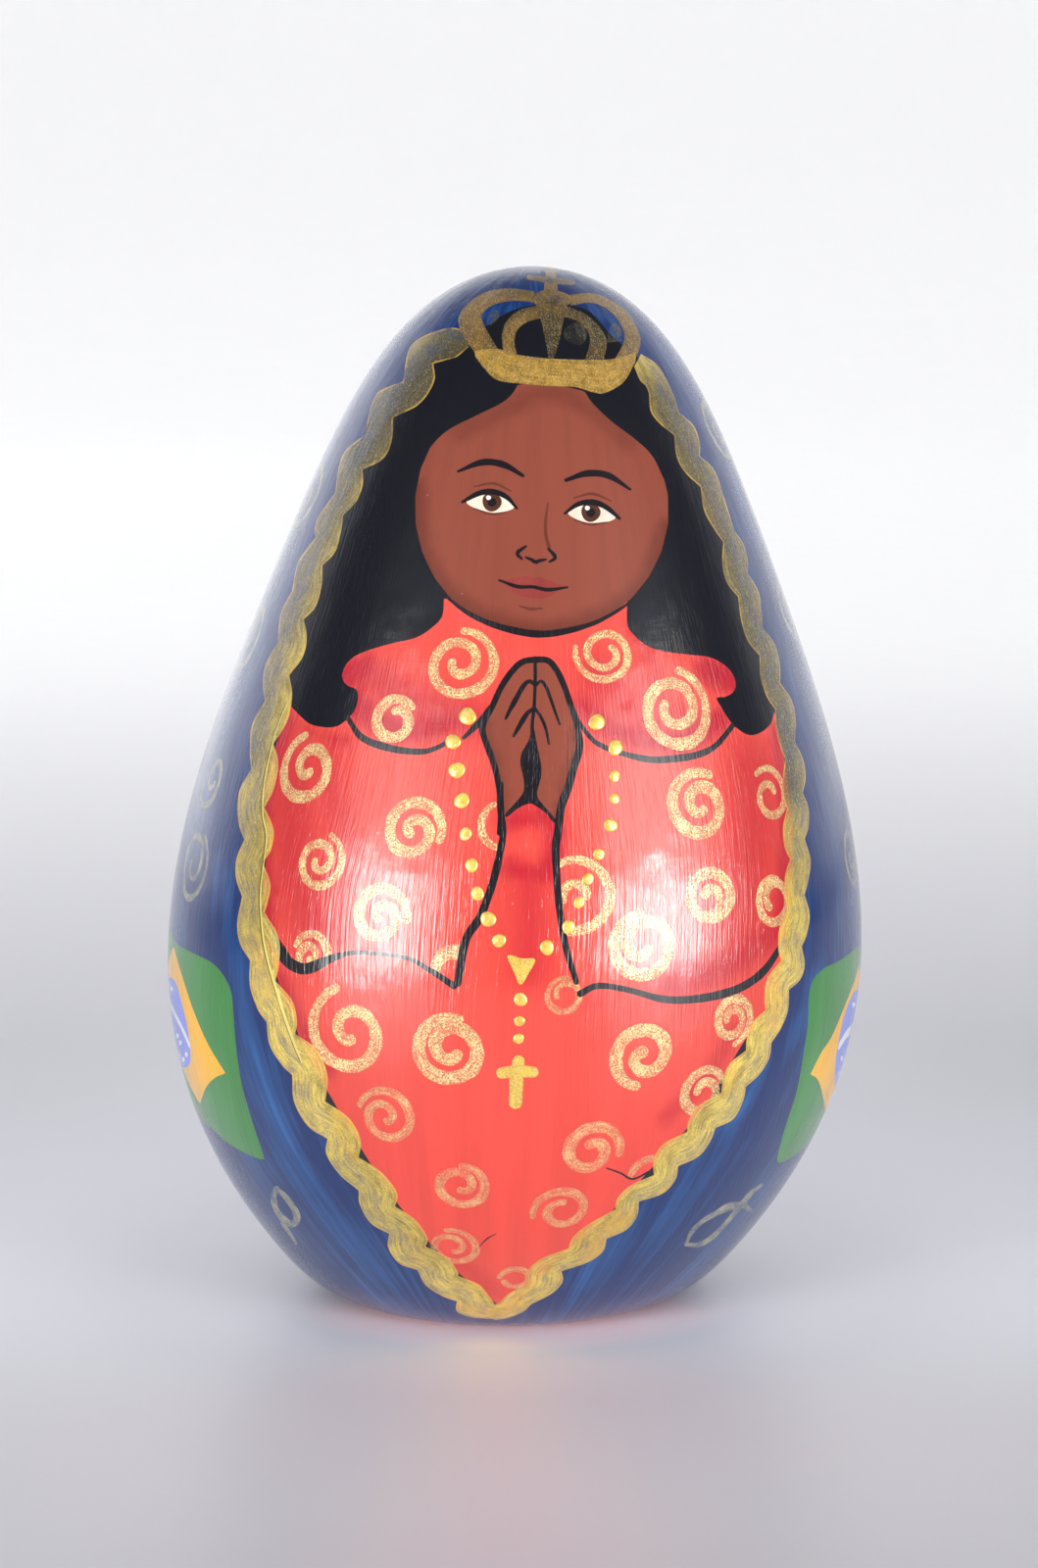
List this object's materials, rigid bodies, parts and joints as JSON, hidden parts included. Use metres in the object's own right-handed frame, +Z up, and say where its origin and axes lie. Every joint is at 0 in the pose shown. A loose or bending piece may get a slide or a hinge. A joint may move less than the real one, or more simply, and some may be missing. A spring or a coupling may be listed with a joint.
{
  "type": "ceramic madonna statuette",
  "caption": "Egg-shaped painted ceramic statuette of a mantled madonna with folded hands and a rosary, standing on a small flat foot.",
  "frame": {"origin": "bottom centre of the bounding box, on the plane of the flat foot", "axes": "+Z up to the crown, -Y out of the painted front, +X to the figure's left, which is the viewer's right"},
  "size_m": [0.1216, 0.1216, 0.18],
  "materials": {
    "painted_ceramic": "hand painted under a thick high-gloss varnish: deep blue mantle with a gold edge, coral red dress with pale gold scrolls"
  },
  "bodies": {
    "root": {"statuette_body": "painted_ceramic"}
  },
  "joints": []
}
